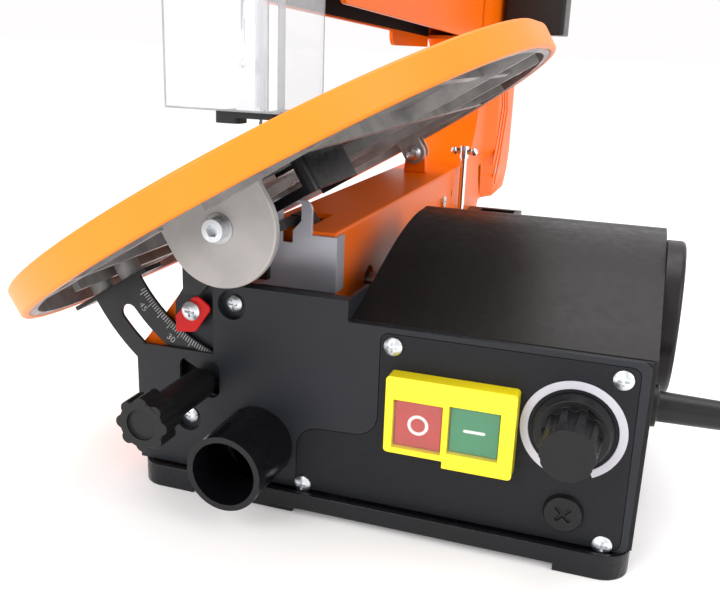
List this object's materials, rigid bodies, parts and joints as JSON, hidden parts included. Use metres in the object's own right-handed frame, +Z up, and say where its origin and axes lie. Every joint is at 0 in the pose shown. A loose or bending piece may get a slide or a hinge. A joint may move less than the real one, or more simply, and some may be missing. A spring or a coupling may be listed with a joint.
{
  "type": "scroll saw",
  "caption": "Bench scroll saw: tilting oval table, C-shaped arm frame with rocking arms and blade, clear guard, switch and speed dial panel, dust port and mains lead.",
  "frame": {"origin": "underside of the base's feet, directly under the blade", "axes": "+X to the operator's right, +Y from the front cover to the rear column, +Z up"},
  "size_m": [0.4999, 0.6808, 0.3489],
  "materials": {
    "cast_black": "hammered black enamel",
    "orange_paint": "glossy orange enamel",
    "rim_orange": "satin orange enamel",
    "table_casting": "ground top, as-cast underside",
    "blasted_grey": "bead blasted",
    "sheet_grey": "light grey powder coat",
    "charcoal_plastic": "satin charcoal",
    "panel_black": "fine leather texture",
    "cover_black": "satin black",
    "port_black": "semi-gloss black",
    "knob_black": "moulded black",
    "switch_yellow": "glossy yellow",
    "stop_red": "glossy red",
    "start_green": "glossy green",
    "dial_grey": "light grey",
    "pointer_red": "glossy red",
    "zinc": "bright zinc",
    "chrome": "polished",
    "steel": "machined",
    "black_steel": "black oxide",
    "clear_guard": "clear polycarbonate",
    "insert_black": "moulded",
    "circuit_green": "circuit board",
    "lead_black": "smooth PVC"
  },
  "bodies": {
    "frame": {"base_plate": "cast_black", "lower_housing": "orange_paint", "rear_column": "orange_paint", "upper_housing": "orange_paint", "front_sheet_bracket": "sheet_grey", "front_cover": "charcoal_plastic", "control_panel": "panel_black", "motor_cover": "cover_black", "motor_end_cap": "cover_black", "motor_body": "steel", "dust_port": "port_black", "switch_housing": "switch_yellow", "speed_dial_plate": "dial_grey", "potentiometer": "steel", "control_board": "circuit_green", "panel_screws": "zinc", "cover_screws": "zinc", "tilt_pointer": "pointer_red", "lock_stud": "steel", "front_pivot_bracket": "black_steel", "rear_pivot_post": "orange_paint", "table_pivot_bolts": "zinc", "arm_pivot_pins": "steel", "tool_holder": "knob_black", "storage_box": "cover_black", "cord_strain_relief": "lead_black", "cord_lead": "lead_black", "cord_coil": "lead_black", "mains_plug": "lead_black"},
    "table": {"table_rim": "rim_orange", "table_top": "table_casting", "table_insert": "insert_black", "front_trunnion": "blasted_grey", "rear_trunnion": "table_casting", "scale_bracket": "black_steel", "scale_screws": "zinc", "dust_hood": "port_black"},
    "lower_arm": {"lower_arm": "black_steel"},
    "upper_arm": {"upper_arm": "black_steel"},
    "blade_set": {"saw_blade": "steel", "lower_blade_clamp": "black_steel", "upper_blade_clamp": "black_steel"},
    "rear_link": {"tension_rod": "steel"},
    "crank": {"motor_shaft": "steel", "crank_wheel": "steel", "cooling_fan": "knob_black"},
    "rod": {"connecting_rod": "steel"},
    "lock_knob": {"tilt_lock_knob": "knob_black"},
    "stop": {"stop_button": "stop_red"},
    "start": {"start_button": "start_green"},
    "speed": {"speed_knob": "knob_black"},
    "fuse": {"fuse_cap": "knob_black"},
    "hold_down": {"hold_down_bar": "zinc", "hold_down_foot": "black_steel", "guard_screw": "zinc", "blade_guard": "clear_guard"},
    "hold_down_clamp": {"hold_down_knob": "knob_black"},
    "lever": {"tension_lever": "knob_black"},
    "lid": {"storage_lid": "cover_black"},
    "wrench": {"hex_wrench": "chrome"}
  },
  "joints": [
    {"name": "table_tilt", "type": "hinge", "parent": "frame", "child": "table", "pos_m": [0, 0.1, 0.1556], "axis": [0, 1, 0], "range_deg": [-13.5, 31.5]},
    {"name": "lock_knob_turn", "type": "hinge", "parent": "frame", "child": "lock_knob", "pos_m": [-0.0322, -0.02, 0.0636], "axis": [0, 1, 0], "range_deg": [0, 270]},
    {"name": "stop_press", "type": "slide", "parent": "frame", "child": "stop", "axis": [0, 1, 0], "range_m": [0, 0.003], "stiffness_N_per_m": 400},
    {"name": "start_press", "type": "slide", "parent": "frame", "child": "start", "axis": [0, 1, 0], "range_m": [0, 0.003], "stiffness_N_per_m": 400},
    {"name": "speed_turn", "type": "hinge", "parent": "frame", "child": "speed", "pos_m": [0.1557, 0, 0.07], "axis": [0, 1, 0], "range_deg": [-135, 135]},
    {"name": "fuse_turn", "type": "hinge", "parent": "frame", "child": "fuse", "pos_m": [0.1555, 0, 0.028], "axis": [0, 1, 0], "range_deg": [0, 90]},
    {"name": "crank_turn", "type": "hinge", "parent": "frame", "child": "crank", "pos_m": [0.1, 0.1, 0.1], "axis": [1, 0, 0], "range_deg": [-90, 90]},
    {"name": "rod_swing", "type": "hinge", "parent": "crank", "child": "rod", "pos_m": [0.008, 0.1063, 0.1], "axis": [1, 0, 0], "range_deg": [-90, 90]},
    {"name": "lower_arm_rock", "type": "hinge", "parent": "frame", "child": "lower_arm", "pos_m": [0, 0.48, 0.12], "axis": [1, 0, 0], "range_deg": [-0.96, 0.96]},
    {"name": "upper_arm_rock", "type": "hinge", "parent": "frame", "child": "upper_arm", "pos_m": [0, 0.48, 0.2545], "axis": [1, 0, 0], "range_deg": [-0.96, 0.96]},
    {"name": "blade_swing", "type": "hinge", "parent": "lower_arm", "child": "blade_set", "pos_m": [0, 0, 0.1435], "axis": [1, 0, 0], "range_deg": [-0.96, 0.96]},
    {"name": "rear_link_swing", "type": "hinge", "parent": "lower_arm", "child": "rear_link", "pos_m": [0, 0.5, 0.12], "axis": [1, 0, 0], "range_deg": [-0.96, 0.96]},
    {"name": "hold_down_slide", "type": "slide", "parent": "frame", "child": "hold_down", "axis": [0, 0, 1], "range_m": [0, 0.024]},
    {"name": "hold_down_knob_turn", "type": "hinge", "parent": "frame", "child": "hold_down_clamp", "pos_m": [0, -0.03, 0.309], "axis": [0, 1, 0], "range_deg": [0, 270]},
    {"name": "tension_lever_flip", "type": "hinge", "parent": "frame", "child": "lever", "pos_m": [0, 0.471, 0.338], "axis": [-1, 0, 0], "range_deg": [0, 85]},
    {"name": "storage_lid_open", "type": "hinge", "parent": "frame", "child": "lid", "pos_m": [0.06, 0.502, 0.318], "axis": [-1, 0, 0], "range_deg": [0, 110]},
    {"name": "wrench_lift", "type": "slide", "parent": "frame", "child": "wrench", "axis": [0, 0, 1], "range_m": [0, 0.085]}
  ],
  "couplings": [
    {"joint": "rod_swing", "follows": "crank_turn", "ratio": -1},
    {"joint": "lower_arm_rock", "follows": "crank_turn", "ratio": -0.0106},
    {"joint": "upper_arm_rock", "follows": "crank_turn", "ratio": -0.0106},
    {"joint": "blade_swing", "follows": "crank_turn", "ratio": 0.0106},
    {"joint": "rear_link_swing", "follows": "crank_turn", "ratio": 0.0106}
  ]
}
